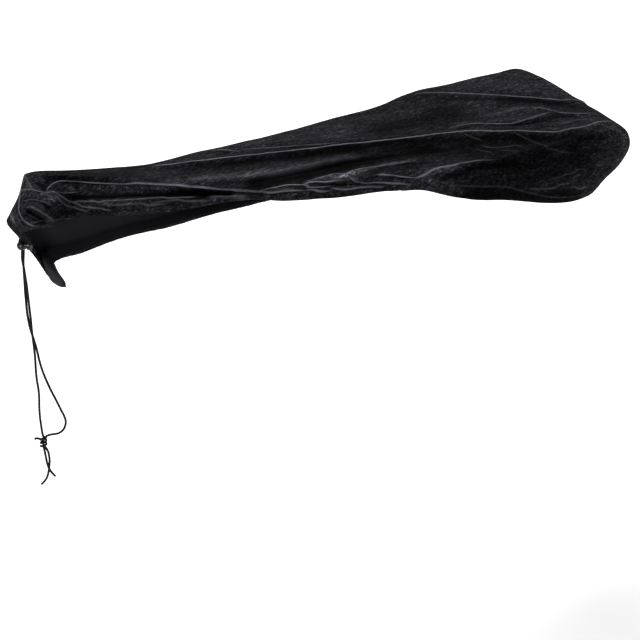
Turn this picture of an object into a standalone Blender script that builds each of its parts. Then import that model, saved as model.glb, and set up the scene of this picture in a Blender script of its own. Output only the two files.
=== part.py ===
"""Piano cover of stretch velvet, one sheet with an elastic hem, drawn over a keyboard.

The right part covers the whole keyboard and its hem is drawn in under the front and the end.
The front left part is folded back over the keys to the back left corner, where its layers lie
in a bundle. A cord lock hangs from the hem at that corner, on the two ends of the drawcord,
which are knotted together below it. Every size here is in millimetres, measured from the
front left corner of the keys: X along the keys, Y to the back, Z up.
"""

import math
from collections import namedtuple

import bmesh
import bpy
import numpy as np
from mathutils import Matrix, Vector

MM = 0.001
DATUM = np.array([423.0, 215.0, 28.0])  # the part's origin, under the cover's top

CLOTH_THICKNESS = 2.0
CASING_THICKNESS = 4.0                  # the hem, with the elastic in it
CASING_ROWS = 2
LONG_STEPS = 36                         # columns along the back and along the front
SHORT_STEPS = 11                        # columns along each end
SPAN_STEPS = (3, 3, 3, 2, 3, 3)         # rows between a section's lines, from shoulder to hem
FOLDED_REACH = 15.0                     # a section with this reach or more is folded under
FADE_BACK = 3.0                         # how fast the folds start from the back and the front
FADE_ENDS = 6.0                         # how fast they start from the two ends
FOLD_ENDS = 0.6                         # below one, a fold keeps its height nearly to its ends

CORD_DIAMETER = 3.8
CORD_STEP = 7.0                         # between the points of a cord's tube
TOUCHING_GAP = 0.3

# A section of the cover's side, from the top's border down to the hem. Shoulder, belly, edge
# and hem are the places that it runs through. Knee is the shares of the way from shoulder to
# belly, outwards and downwards, of one more place between them: out before down gives a
# square shoulder, down before out a hollow one. Reach is how far the layer below the edge runs
# back under the bundle before it turns forward to the hem; with no reach the section runs
# straight from the edge to the hem.
Section = namedtuple("Section", "shoulder belly edge hem knee reach")

BACK = [
    Section((-24, 288, 66), (-71, 293, 1), (-43, 290, -50), (-41, 158, -63), (0.56, 0.72), 0),
    Section((-4, 288, 63), (-36, 295, -3), (-31, 293, -56), (-29, 250, -66), (0.5, 0.5), 0),
    Section((24, 286, 57), (16, 294, -10), (14, 290, -58), (18, 262, -68), (0.65, 0.35), 0),
    Section((82, 286, 44), (80, 293, -16), (80, 289, -56), (80, 264, -64), (0.7, 0.3), 0),
    Section((153, 287, 31), (153, 293, -20), (153, 289, -60), (153, 262, -68), (0.7, 0.3), 0),
    Section((250, 287, 28), (250, 294, -25), (250, 289, -62), (250, 262, -70), (0.7, 0.3), 0),
    Section((360, 287, 23), (360, 292, -25), (360, 289, -70), (360, 264, -78), (0.7, 0.3), 0),
    Section((480, 287, 22), (480, 293, -26), (480, 289, -68), (480, 262, -76), (0.7, 0.3), 0),
    Section((590, 287, 22), (590, 292, -24), (590, 289, -75), (590, 264, -83), (0.7, 0.3), 0),
    Section((645, 287, 29), (645, 294, -26), (645, 289, -76), (645, 262, -84), (0.7, 0.3), 0),
    Section((750, 287, 26), (750, 292, -28), (750, 289, -81), (750, 263, -89), (0.7, 0.3), 0),
    Section((850, 287, 23), (850, 293, -30), (850, 288, -82), (846, 262, -91), (0.7, 0.3), 0),
]
RIGHT = [
    Section((896, 285, 21), (900, 290, -30), (893, 283, -84), (872, 260, -92), (0.7, 0.3), 0),
    Section((898, 230, 20), (903, 230, -34), (896, 228, -86), (871, 228, -95), (0.7, 0.3), 0),
    Section((896, 166, 12), (903, 166, -38), (895, 164, -88), (869, 164, -97), (0.65, 0.35), 0),
    Section((894, 110, 1), (902, 110, -42), (891, 108, -88), (865, 112, -97), (0.75, 0.3), 0),
    Section((888, 60, -4), (899, 56, -42), (883, 56, -89), (856, 66, -97), (0.8, 0.3), 0),
]
FRONT = [
    Section((874, 10, -8), (885, -13, -40), (862, 3, -87), (836, 30, -95), (0.78, 0.34), 0),
    Section((844, -14, -1), (850, -33, -42), (824, -12, -92), (808, 14, -98), (0.6, 0.4), 0),
    Section((800, -20, 5), (800, -39, -44), (792, -26, -95), (786, 0, -102), (0.6, 0.4), 0),
    Section((745, -21, 8), (745, -40, -46), (742, -34, -91), (740, -8, -98), (0.6, 0.4), 0),
    Section((690, -20, 10), (690, -40, -36), (688, -38, -76), (688, -13, -83), (0.6, 0.4), 0),
    Section((640, -18, 12), (640, -38, -28), (640, -36, -60), (640, -16, -66), (0.6, 0.4), 0),
    Section((590, -16, 14), (590, -36, -18), (590, -35, -44), (590, -23, -37), (0.6, 0.4), 0),
    Section((540, -13, 17), (540, -34, -8), (542, -34, -30), (540, -24, -20), (0.6, 0.4), 0),
    Section((500, -8, 20), (500, -28, 2), (504, -27, -16), (498, -16, -6), (0.6, 0.4), 0),
    Section((462, 4, 23), (462, -14, 12), (462, -14, 2), (460, -2, 12), (0.55, 0.45), 10),
    Section((414, 18, 26), (414, 3, 17), (414, 2, 8), (414, 14, 17), (0.45, 0.55), 28),
    Section((330, 44, 28), (334, 31, 20), (337, 24, 12), (337, 36, 21), (0.4, 0.6), 34),
    Section((275, 61, 29), (274, 54, 22), (273, 60, 14), (273, 70, 23), (0.35, 0.65), 34),
    Section((241, 90, 27), (240, 84, 20), (240, 92, 14), (240, 102, 22), (0.35, 0.65), 34),
    Section((205, 120, 32), (203, 110, 22), (200, 113, 14), (200, 123, 23), (0.3, 0.7), 34),
    Section((157, 150, 40), (163, 138, 27), (158, 126, 14), (158, 137, 23), (0.2, 0.8), 34),
    Section((109, 185, 46), (100, 163, 32), (105, 146, 15), (105, 158, 24), (0.2, 0.8), 34),
    Section((60, 221, 50), (44, 192, 36), (43, 176, 18), (43, 188, 27), (0.2, 0.8), 32),
    Section((20, 250, 55), (14, 216, 40), (8, 202, 18), (8, 213, 27), (0.3, 0.7), 24),
]
LEFT = [
    Section((-8, 262, 61), (-36, 212, 41), (-29, 206, 14), (-24, 215, 23), (0.45, 0.55), 17),
    Section((-19, 266, 67), (-57, 232, 36), (-51, 224, 9), (-42, 229, 18), (0.55, 0.48), 15),
    Section((-27, 270, 69), (-63, 254, 27), (-59, 246, 0), (-50, 250, 8), (0.56, 0.48), 10),
    Section((-31, 276, 68), (-67, 279, 12), (-60, 269, -14), (-54, 259, -10), (0.56, 0.56), 0),
    Section((-32, 282, 67), (-71, 288, 4), (-59, 281, -31), (-50, 256, -40), (0.56, 0.66), 0),
    Section((-30, 287, 66), (-72, 291, 1), (-47, 286, -47), (-45, 213, -74), (0.56, 0.7), 0),
]

# A long fold in the top: a ridge if height is above zero and a trough if it is below, from
# start to end in plan, bowed sideways in the middle, narrower on its front side than behind.
Fold = namedtuple("Fold", "start end bow behind front height")

FOLDS = [
    Fold((120, 290), (850, -30), -14, 46, 22, 9),
    Fold((215, 245), (700, 5), -8, 26, 26, -7),
    Fold((255, 285), (470, 175), -6, 16, 12, 4),
    Fold((700, 262), (880, 95), 10, 22, 16, 4),
    Fold((610, 130), (800, 60), -10, 20, 14, 4),
]

LOCK_CENTRE = (-67.8, 252.0, -24.8)
LOCK_RADIUS = 7.3
LOCK_HALF_HEIGHT = 6.4                  # the ball is cut flat where the cords pass through it
BUTTON_AXIS = (0.62, -0.78, -0.07)      # from the ball to its button
NECK_RADIUS = 3.6
NECK_END = 10.2                         # from the ball's centre
BUTTON_RADIUS = 4.8
BUTTON_LENGTH = 6.0
BUTTON_ROUNDING = 1.2

KNOT_CENTRE = (-111.8, 252.0, -366.6)
KNOT_HALF_SIZE = (5.2, 4.6, 10.6)
KNOT_TILT = 0.22                        # radians, its lower end to the left
STUB_LENGTH = 13.0
STUB_RISE = 0.35                        # radians
STUB_BASE = 7.0                         # above the knot's centre

# Each cord's route: the two leads come out of the hem into the lock, the two strands go from
# the lock down to the knot, and the tails hang from the knot. The strands cross once, one
# behind the other.
CORD_ROUTES = {
    "drawcord_lead_left": [
        (-55.4, 254.2, -23.0), (-56.6, 251.8, -18.0), (-59.0, 250.6, -13.2),
        (-62.8, 250.8, -10.6), (-67.2, 250.0, -12.4), (-69.4, 249.9, -15.2),
        (-69.8, 249.9, -17.1),
    ],
    "drawcord_lead_right": [
        (-55.3, 256.4, -17.4), (-55.8, 256.0, -13.4), (-57.8, 255.4, -9.8),
        (-61.2, 254.6, -8.4), (-64.6, 254.0, -10.4), (-66.0, 253.8, -13.8),
        (-66.2, 253.8, -17.2),
    ],
    "drawcord_strand_left": [
        (-69.5, 250.0, -32.0), (-71.0, 250.0, -38.0), (-72.5, 250.0, -46.0),
        (-73.0, 250.0, -54.0), (-73.5, 250.0, -62.5), (-74.5, 250.0, -74.5),
        (-75.5, 250.0, -87.0), (-77.0, 250.0, -99.5), (-78.5, 250.0, -112.0),
        (-80.5, 250.0, -128.5), (-82.5, 250.0, -145.5), (-85.0, 250.0, -162.5),
        (-87.0, 250.0, -180.0), (-89.0, 250.0, -197.5), (-91.5, 250.0, -215.0),
        (-94.5, 250.0, -232.0), (-97.0, 250.0, -250.5), (-98.5, 250.0, -269.0),
        (-101.0, 250.0, -284.5), (-104.5, 250.0, -301.0), (-107.5, 250.0, -320.0),
        (-109.0, 250.5, -335.0), (-110.0, 251.0, -347.0), (-110.2, 251.6, -355.4),
    ],
    "drawcord_strand_right": [
        (-66.0, 254.0, -32.0), (-68.0, 254.0, -40.0), (-70.5, 254.0, -49.5),
        (-72.5, 254.0, -59.0), (-74.5, 254.0, -70.5), (-76.5, 254.0, -82.5),
        (-79.0, 254.0, -96.5), (-81.5, 254.0, -113.0), (-84.0, 254.0, -130.5),
        (-85.5, 254.0, -146.5), (-86.0, 254.0, -162.5), (-85.0, 254.0, -182.0),
        (-84.5, 254.0, -201.0), (-85.0, 254.0, -219.5), (-84.5, 254.0, -238.5),
        (-82.5, 254.0, -258.5), (-79.5, 254.0, -279.0), (-75.5, 254.0, -300.5),
        (-72.0, 254.0, -321.0), (-69.5, 254.0, -334.5), (-69.0, 254.0, -345.5),
        (-72.0, 254.0, -354.5), (-78.0, 254.0, -361.0), (-85.0, 254.0, -363.0),
        (-92.5, 254.0, -361.5), (-98.5, 253.5, -359.5), (-105.2, 253.0, -359.0),
    ],
    "drawcord_tail_right": [
        (-114.0, 250.2, -378.6), (-114.5, 250.0, -388.0), (-115.0, 250.0, -397.0),
        (-115.5, 250.0, -408.0), (-115.0, 250.0, -418.0), (-113.5, 250.0, -426.0),
        (-111.0, 250.0, -433.0), (-108.5, 250.0, -439.0),
    ],
    "drawcord_tail_left": [
        (-111.3, 254.0, -378.6), (-109.5, 254.0, -384.5), (-108.5, 254.0, -392.0),
        (-109.0, 254.0, -400.0), (-110.0, 254.0, -408.0), (-112.0, 254.0, -415.5),
        (-115.0, 254.0, -424.5), (-118.5, 254.0, -433.5), (-123.5, 254.0, -441.0),
        (-128.5, 254.0, -445.0), (-133.0, 254.0, -447.5),
    ],
}


def hermite_tangents(points, knots):
    """The slope at every point of a smooth curve through points, a knot for each."""
    spans = np.diff(knots, axis=0)
    slopes = np.diff(points, axis=0) / spans
    before, after = spans[:-1], spans[1:]
    inner = (slopes[:-1] * after + slopes[1:] * before) / (before + after)
    return np.concatenate([slopes[:1], inner, slopes[-1:]])


def hermite(start, end, start_slope, end_slope, span, share):
    """The point at a share of the way along one span of a smooth curve."""
    s2, s3 = share**2, share**3
    return (
        (2 * s3 - 3 * s2 + 1) * start
        + (s3 - 2 * s2 + share) * span * start_slope
        + (3 * s2 - 2 * s3) * end
        + (s3 - s2) * span * end_slope
    )


def curve_at(points, knots, places):
    """A smooth curve through rows of points, read at places measured along its knots."""
    slopes = hermite_tangents(points, knots[:, None])
    index = np.clip(np.searchsorted(knots, places, side="right") - 1, 0, len(knots) - 2)
    span = (knots[index + 1] - knots[index])[:, None]
    share = ((places - knots[index])[:, None]) / span
    return hermite(points[index], points[index + 1], slopes[index], slopes[index + 1],
                   span, share)


def section_columns():
    """Every column's section around the cover, and the index of its four corner columns."""
    sides = [BACK, RIGHT, FRONT, LEFT]
    steps = [LONG_STEPS, SHORT_STEPS, LONG_STEPS, SHORT_STEPS]
    rows = np.array([
        [*row.shoulder, *row.belly, *row.edge, *row.hem, *row.knee, row.reach]
        for side in sides for row in side
    ], dtype=float)
    wrap = 3
    closed = np.concatenate([rows[-wrap:], rows, rows[:wrap + 1]])
    lines = closed[:, :12].reshape(len(closed), 4, 3)
    lengths = np.linalg.norm(np.diff(lines, axis=0), axis=2).mean(axis=1)
    knots = np.concatenate([[0.0], np.cumsum(lengths)])
    places, corners = [], []
    first = wrap
    for side, count in zip(sides, steps):
        last = first + len(side)
        corners.append(len(places))
        places += list(np.linspace(knots[first], knots[last], count, endpoint=False))
        first = last
    return curve_at(closed, knots, np.array(places)), corners


def fold_height(x, y, fold):
    """How far one fold lifts the top at a place in plan."""
    start, end = np.array(fold.start, float), np.array(fold.end, float)
    length = np.linalg.norm(end - start)
    along = (end - start) / length
    share = ((x - start[0]) * along[0] + (y - start[1]) * along[1]) / length
    offset = (y - start[1]) * along[0] - (x - start[0]) * along[1]
    offset = offset - fold.bow * 4 * share * (1 - share)
    width = np.where(offset > 0, fold.behind, fold.front)
    inside = np.clip(share, 0, 1)
    fade = np.sin(np.pi * inside) ** FOLD_ENDS
    return fold.height * fade * np.exp(-((offset / width) ** 2))


def top_grid(columns, corners):
    """The top's points, as rows from the back to the front, between its four borders."""
    shoulder = columns[:, :3]
    back = shoulder[corners[0]:corners[1] + 1]
    right = shoulder[corners[1]:corners[2] + 1]
    front = shoulder[corners[2]:corners[3] + 1][::-1]
    left = np.concatenate([shoulder[corners[3]:], shoulder[:1]])[::-1]
    u = np.linspace(0, 1, len(back))[None, :, None]
    v = np.linspace(0, 1, len(right))[:, None, None]
    grid = (1 - v) * back[None] + v * front[None] + (1 - u) * left[:, None] + u * right[:, None]
    grid = grid - (1 - u) * (1 - v) * back[0] - u * (1 - v) * back[-1]
    grid = grid - (1 - u) * v * front[0] - u * v * front[-1]
    inner = np.minimum(np.sin(np.pi * v) * FADE_BACK, 1)
    inner = inner * np.minimum(np.sin(np.pi * u) * FADE_ENDS, 1)
    for fold in FOLDS:
        grid[..., 2] += inner[..., 0] * fold_height(grid[..., 0], grid[..., 1], fold)
    return grid


def side_rows(columns, inside):
    """Rows of points down the sides, from the shoulder to the hem, one for each column."""
    shoulder, belly, edge, hem = (columns[:, i:i + 3] for i in (0, 3, 6, 9))
    knee_out, knee_down, reach = columns[:, 12:13], columns[:, 13:14], columns[:, 14:15]
    around = np.roll(edge, -1, axis=0) - np.roll(edge, 1, axis=0)
    inwards = np.stack([around[:, 1], -around[:, 0], np.zeros(len(edge))], axis=1)
    inwards = inwards / np.linalg.norm(inwards, axis=1, keepdims=True)
    folded = np.clip(reach / FOLDED_REACH, 0, 1)
    knee = shoulder + (belly - shoulder) * np.hstack([knee_out, knee_out, knee_down])
    flat = edge + inwards * reach * 0.55
    turn = edge + inwards * reach + (hem - edge) * [0, 0, 0.45]
    under = (edge * 2 + hem) / 3 * (1 - folded) + flat * folded
    turn = (edge + hem * 2) / 3 * (1 - folded) + turn * folded
    points = np.stack([inside, shoulder, knee, belly, edge, under, turn, hem])
    gaps = np.linalg.norm(np.diff(points, axis=0), axis=2, keepdims=True) ** 0.5
    knots = np.concatenate([np.zeros((1, *gaps.shape[1:])), np.cumsum(gaps, axis=0)])
    slopes = hermite_tangents(points, knots)
    rows = []
    for i, steps in enumerate(SPAN_STEPS, start=1):
        for step in range(steps):
            rows.append(hermite(points[i], points[i + 1], slopes[i], slopes[i + 1],
                                gaps[i], (step + 1) / steps))
    return np.array(rows)


def cloth_sheet():
    """The sheet's middle surface: points, four-sided faces, the hem's points and thicknesses."""
    columns, corners = section_columns()
    grid = top_grid(columns, corners)
    tall, wide = grid.shape[:2]
    number = np.arange(tall * wide).reshape(tall, wide)
    border = np.concatenate([
        number[0, :-1], number[:-1, -1], number[-1, :0:-1], number[:0:-1, 0]
    ])
    beside = np.concatenate([
        number[1, :-1], number[:-1, -2], number[-2, :0:-1], number[:0:-1, 1]
    ])
    points = grid.reshape(-1, 3)
    rows = side_rows(columns, points[beside])
    rings = [border]
    for i in range(len(rows)):
        rings.append(len(points) + i * len(border) + np.arange(len(border)))
    points = np.concatenate([points, rows.reshape(-1, 3)])
    faces = []
    for r in range(tall - 1):
        for c in range(wide - 1):
            faces.append((number[r, c], number[r + 1, c], number[r + 1, c + 1], number[r, c + 1]))
    for upper, lower in zip(rings, rings[1:]):
        for c in range(len(border)):
            after = (c + 1) % len(border)
            faces.append((upper[c], upper[after], lower[after], lower[c]))
    thickness = np.full(len(points), CLOTH_THICKNESS)
    for back in range(CASING_ROWS):
        thickness[rings[-1 - back]] = CASING_THICKNESS
    return points, np.array(faces), rings[-1], thickness


def point_normals(points, faces):
    """The sheet's direction at each point, averaged from the faces around it."""
    corners = points[faces]
    direction = np.cross(corners[:, 2] - corners[:, 0], corners[:, 3] - corners[:, 1])
    total = np.zeros_like(points)
    for corner in range(4):
        np.add.at(total, faces[:, corner], direction)
    return total / np.linalg.norm(total, axis=1, keepdims=True)


def plain_material(name, colour, roughness):
    """A material of one colour for a sub-part."""
    material = bpy.data.materials.new(name)
    material.use_nodes = True
    shader = material.node_tree.nodes["Principled BSDF"]
    shader.inputs["Base Color"].default_value = (*colour, 1.0)
    shader.inputs["Roughness"].default_value = roughness
    return material


def mesh_object(name, points, faces, material):
    """An object from points in millimetres and lists of their numbers."""
    mesh = bpy.data.meshes.new(name)
    mesh.from_pydata(((points - DATUM) * MM).tolist(), [], [list(map(int, f)) for f in faces])
    mesh.update()
    mesh.shade_smooth()
    mesh.materials.append(material)
    piece = bpy.data.objects.new(name, mesh)
    bpy.context.collection.objects.link(piece)
    return piece


def make_cloth(material):
    """The cover: its sheet given its thickness, closed along the hem."""
    points, faces, hem, thickness = cloth_sheet()
    normals = point_normals(points, faces)
    half = normals * thickness[:, None] / 2
    count = len(points)
    solid = list(faces) + list(faces[:, ::-1] + count)
    for a, b in zip(hem, np.roll(hem, -1)):
        solid.append((a, b, b + count, a + count))
    both = np.concatenate([points + half, points - half])
    return mesh_object("cover_cloth", both, solid, material)


def cord_points(route):
    """A cord's centreline, read every few diameters from a smooth curve through its route."""
    route = np.array(route)
    knots = np.concatenate([[0.0], np.cumsum(np.linalg.norm(np.diff(route, axis=0), axis=1))])
    count = int(round(knots[-1] / CORD_STEP)) + 1
    return curve_at(route, knots, np.linspace(0, knots[-1], count))


def make_cord(name, route, material):
    """A round cord with filled ends, along a route."""
    curve = bpy.data.curves.new(name, "CURVE")
    curve.dimensions = "3D"
    curve.bevel_depth = CORD_DIAMETER / 2 * MM
    curve.bevel_resolution = 2
    curve.use_fill_caps = True
    curve.materials.append(material)
    points = (cord_points(route) - DATUM) * MM
    spline = curve.splines.new("POLY")
    spline.points.add(len(points) - 1)
    for target, point in zip(spline.points, points):
        target.co = (*point, 1.0)
    cord = bpy.data.objects.new(name, curve)
    bpy.context.collection.objects.link(cord)
    return cord


def ball(radii, centre, turn=None):
    """A bmesh ball with its three half sizes, in metres in the part's frame."""
    shape = bmesh.new()
    bmesh.ops.create_uvsphere(shape, u_segments=20, v_segments=12, radius=1.0)
    bmesh.ops.scale(shape, vec=Vector(radii) * MM, verts=shape.verts)
    if turn is not None:
        bmesh.ops.rotate(shape, matrix=turn, verts=shape.verts)
    bmesh.ops.translate(shape, vec=Vector((np.array(centre) - DATUM) * MM), verts=shape.verts)
    return shape


def rod(radius, start, end, end_radius=None):
    """A bmesh rod between two places, narrower at its end if a second radius is given."""
    start = Vector((np.array(start) - DATUM) * MM)
    end = Vector((np.array(end) - DATUM) * MM)
    shape = bmesh.new()
    bmesh.ops.create_cone(
        shape, cap_ends=True, segments=16, radius1=radius * MM,
        radius2=(end_radius or radius) * MM, depth=(end - start).length,
    )
    turn = (end - start).to_track_quat("Z", "Y").to_matrix()
    bmesh.ops.rotate(shape, matrix=turn, verts=shape.verts)
    bmesh.ops.translate(shape, vec=(start + end) / 2, verts=shape.verts)
    return shape


def shape_object(name, shape, material):
    """An object from a bmesh, which it frees."""
    mesh = bpy.data.meshes.new(name)
    shape.to_mesh(mesh)
    shape.free()
    mesh.shade_smooth()
    mesh.set_sharp_from_angle(angle=math.radians(40))
    if material:
        mesh.materials.append(material)
    piece = bpy.data.objects.new(name, mesh)
    bpy.context.collection.objects.link(piece)
    return piece


def join_shape(piece, shape):
    """Unites a piece with a bmesh shape, which stays as a hidden guide."""
    guide = shape_object(piece.name + "_guide", shape, None)
    guide.hide_render = True
    guide.display_type = "WIRE"
    union = piece.modifiers.new("Union", "BOOLEAN")
    union.operation = "UNION"
    union.object = guide


def make_lock(material):
    """The cord lock: a ball cut flat above and below, with a neck, and its button."""
    centre = np.array(LOCK_CENTRE)
    axis = np.array(BUTTON_AXIS) / np.linalg.norm(BUTTON_AXIS)
    shape = ball((LOCK_RADIUS,) * 3, centre)
    middle = Vector((centre - DATUM) * MM)
    for side in (1, -1):
        everything = list(shape.verts) + list(shape.edges) + list(shape.faces)
        plane = middle + Vector((0, 0, side * LOCK_HALF_HEIGHT * MM))
        cut = bmesh.ops.bisect_plane(
            shape, geom=everything, plane_co=plane, plane_no=(0, 0, side), clear_outer=True,
        )
        rim = [g for g in cut["geom_cut"] if isinstance(g, bmesh.types.BMEdge)]
        bmesh.ops.contextual_create(shape, geom=rim)
    bmesh.ops.recalc_face_normals(shape, faces=shape.faces)
    body = shape_object("cord_lock_body", shape, material)
    join_shape(body, rod(NECK_RADIUS, centre + axis * LOCK_RADIUS / 2, centre + axis * NECK_END))
    start = NECK_END + TOUCHING_GAP
    button = rod(BUTTON_RADIUS, centre + axis * start, centre + axis * (start + BUTTON_LENGTH))
    rims = [edge for edge in button.edges if any(len(face.verts) > 4 for face in edge.link_faces)]
    bmesh.ops.bevel(button, geom=rims, offset=BUTTON_ROUNDING * MM, segments=3, profile=0.5,
                    affect="EDGES", clamp_overlap=True)
    shape_object("cord_lock_button", button, material)


def make_knot(material):
    """The knot that joins the strands, with the short end that sticks out of it."""
    turn = Matrix.Rotation(KNOT_TILT, 3, "Y")
    knot = shape_object("drawcord_knot", ball(KNOT_HALF_SIZE, KNOT_CENTRE, turn), material)
    top = np.array(KNOT_CENTRE) + [0.0, 0.0, STUB_BASE]
    end = top + np.array([-math.cos(STUB_RISE), 0.0, math.sin(STUB_RISE)]) * STUB_LENGTH
    join_shape(knot, rod(CORD_DIAMETER / 2, top, end))


def main():
    for old in list(bpy.data.objects):
        bpy.data.objects.remove(old)
    velvet = plain_material("black_velvet", (0.012, 0.012, 0.014), 0.9)
    plastic = plain_material("black_plastic", (0.015, 0.015, 0.017), 0.35)
    cord = plain_material("black_cord", (0.014, 0.014, 0.018), 0.8)
    make_cloth(velvet)
    make_lock(plastic)
    make_knot(cord)
    for name, route in CORD_ROUTES.items():
        make_cord(name, route, cord)


main()
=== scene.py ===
"""Looks of the piano cover: velvet with its folds and creases, with light and shade painted along
them and in patches, its cord lock and its drawcord.

Sizes are in millimetres, measured from the front left corner of the keys: X along the keys,
Y to the back, Z up. DATUM is the part's origin in them. Creases and patches are given by where
they lie in the camera's picture, and are carried onto the cloth along the camera's rays.
"""

import math
from collections import namedtuple

import bpy
import numpy as np
from mathutils import Matrix, Vector
from mathutils import noise as bpy_noise
from mathutils.bvhtree import BVHTree
from mathutils.kdtree import KDTree

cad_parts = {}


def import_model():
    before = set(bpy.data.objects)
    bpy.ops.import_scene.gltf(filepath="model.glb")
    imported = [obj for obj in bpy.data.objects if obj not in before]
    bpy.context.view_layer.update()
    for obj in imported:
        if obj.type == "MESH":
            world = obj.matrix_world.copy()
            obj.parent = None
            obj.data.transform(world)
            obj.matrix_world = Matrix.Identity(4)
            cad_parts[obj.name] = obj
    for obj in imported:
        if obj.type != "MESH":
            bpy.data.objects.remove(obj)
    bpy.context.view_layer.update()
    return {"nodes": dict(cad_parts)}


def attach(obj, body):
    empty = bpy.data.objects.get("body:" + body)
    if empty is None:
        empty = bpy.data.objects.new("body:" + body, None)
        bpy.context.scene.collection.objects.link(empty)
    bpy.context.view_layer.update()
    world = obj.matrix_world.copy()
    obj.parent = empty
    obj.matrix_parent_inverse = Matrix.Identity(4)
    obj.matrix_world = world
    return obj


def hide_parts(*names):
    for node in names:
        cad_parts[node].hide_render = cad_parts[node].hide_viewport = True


MM = 0.001
DATUM = np.array([423.0, 215.0, 28.0])

CAMERA_PLACE = (-318.5, -1105.6, 586.6)
CAMERA_RIGHT = (0.85495, -0.51336, -0.07427)
CAMERA_UP = (0.31872, 0.40695, 0.85604)
CAMERA_BACK = np.cross(CAMERA_RIGHT, CAMERA_UP)
CAMERA_LENS = 55.3
SENSOR_WIDTH = 36.0
PICTURE = 640  # pixels, wide and high
FLOOR_HEIGHT = -900.0
WORLD_LIGHT = 0.35
SUNS = [  # name, strength, width in degrees, direction
    ("key", 4.6, 40, (0.2, -0.55, -1.0)),
    ("glint", 1.1, 14, (0.55, 0.63, -0.35)),
]

# The cloth's shape.
CLOTH_THICKNESS = 2.0
CASING_THICKNESS = 4.4  # the hem, with the elastic in it
CASING_EDGE = 4.0  # over which the cloth thickens to it
SEAM_DISTANCE = 35.5  # from the hem up to its seam, along the cloth
LONG_STEPS = 360  # columns along the back and along the front
SHORT_STEPS = 96  # columns along each end
SPAN_STEPS = (8, 8, 8, 4, 5, 5)  # rows between a section's lines, an even number in all
FOLDED_REACH = 15.0  # a section with this reach or more is folded under
FOLDED_FLAT = 0.55  # the share of its reach that lies flat
FOLDED_TURN = 0.45  # the share of the height from edge to hem at which it turns
FADE_BACK = 3.0  # how fast the folds start from the back and the front
FADE_ENDS = 6.0  # how fast they start from the two ends
FOLD_ENDS = 0.6  # below one, a fold keeps its height nearly to its ends
FAR = 1000.0  # stands for a distance that isn't measured
WAVES = [(70.0, 1.2), (26.0, 0.5)]  # length and height of the cloth's waves
PUCKER = (6.0, 0.8)  # the same for the pucker at the seam and the hem
SEAM_PUCKER = 7.0  # how far the pucker reaches from the seam
HEM_PUCKER = 12.0  # how far it reaches from the hem
WAVE_SEED = (31.7, 17.3, 5.1)  # between the places where two sets of waves are read

# Its creases, and its patches of painted light and shade.
ROUTE_TRIES = 6  # steps that bring a crease's line into place
ROUTE_STEP = 3.0  # pixels that one step makes up for, at most
LINE_STEP = 2.5  # between the points of a crease's line
PATCH_STEP = 5.0  # between the points of a patch's line
LINE_EASING = 6  # how many times a crease's line is evened out
CREST_POWER = 1.4  # below two, a crest is sharper than a bell
CREASE_REACH = 3.0  # half widths from its line at which a crease ends
FACING = (2.0, 0.6)  # how a crease fades on cloth that faces another way: times, plus
GLOW_REACH = 2.5  # the same for its painted highlight line
GLOW_LEAST = 4.5  # its least reach
GLOW_EDGE = 2.0  # over which it ends
GLOW_MARGIN = 4.0  # past a painted highlight line, so that it ends before its numbers
FURROW_PAINTED_SHADE = 1.8  # how dark the painted shade in a furrow is, in powers of e
BULGE_PAINTED_SHADING = 0.35  # how much painted light a point gets that stands 1 mm proud; a hollow gets painted shade
BULGE_RANGE = (-1.2, 1.0)  # how far down and up that counts
BULGE_EASING = 12  # how many times the cloth is evened out to measure it

# The velvet's material.
PILE_LIGHT = 0.0076  # how light plain velvet is
LINE_LIGHT = 0.105  # how light a painted highlight line is
LINE_UNEVEN = (1.6, 0.1)  # its unevenness: times, plus
RIM_WIDTH = 2.8  # of the painted shade at the rim of a painted highlight line, in its half widths
RIM_PAINTED_SHADE = 0.8  # how dark it is, in powers of e
SEAM_LIGHT = 0.13  # how light the seam is, as a share of a light line
SEAM_FALL = 0.8  # how fast that ends beside it
VELVET_NOISES = [  # scale, detail, strength and stretch along X
    (520.0, 2.0, 4.6, 1.0),
    (330.0, 2.0, 5.0, 2.5),
    (120.0, 3.0, 2.4, 4.0),
    (18.0, 4.0, 1.2, 2.0),
]

# The drawcord.
CORD_DIAMETER = 3.8
CORD_STEP = 3.0  # between the points of its middle line
KNOT_STEP = 0.8
BRAID_PITCH = 2.4  # the length of one diamond of the braid

# A section of the cover's side, from the top's border down to the hem. Shoulder, belly, edge
# and hem are the places that it runs through. Knee is the shares of the way from shoulder to
# belly, outwards and downwards, of one more place between them: out before down gives a
# square shoulder, down before out a hollow one. Reach is how far the layer below the edge runs
# back under the bundle before it turns forward to the hem; with no reach the section runs
# straight from the edge to the hem. Knee and reach are left out where they are the defaults.
Section = namedtuple("Section", "shoulder belly edge hem knee reach", defaults=[(0.7, 0.3), 0])

BACK = [
    ((-24, 288, 66), (-71, 293, 1), (-43, 290, -50), (-41, 158, -63), (0.56, 0.72)),
    ((-4, 288, 63), (-36, 295, -3), (-31, 293, -56), (-29, 250, -66), (0.5, 0.5)),
    ((24, 286, 57), (16, 294, -10), (14, 290, -58), (18, 262, -68), (0.65, 0.35)),
    ((82, 286, 44), (80, 293, -16), (80, 289, -56), (80, 264, -64)),
    ((153, 287, 31), (153, 293, -20), (153, 289, -60), (153, 262, -68)),
    ((250, 287, 28), (250, 294, -25), (250, 289, -62), (250, 262, -70)),
    ((360, 287, 23), (360, 292, -25), (360, 289, -70), (360, 264, -78)),
    ((480, 287, 22), (480, 293, -26), (480, 289, -68), (480, 262, -76)),
    ((590, 287, 22), (590, 292, -24), (590, 289, -75), (590, 264, -83)),
    ((645, 287, 29), (645, 294, -26), (645, 289, -76), (645, 262, -84)),
    ((750, 287, 26), (750, 292, -28), (750, 289, -81), (750, 263, -89)),
    ((850, 287, 23), (850, 293, -30), (850, 288, -82), (846, 262, -91)),
]
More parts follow.
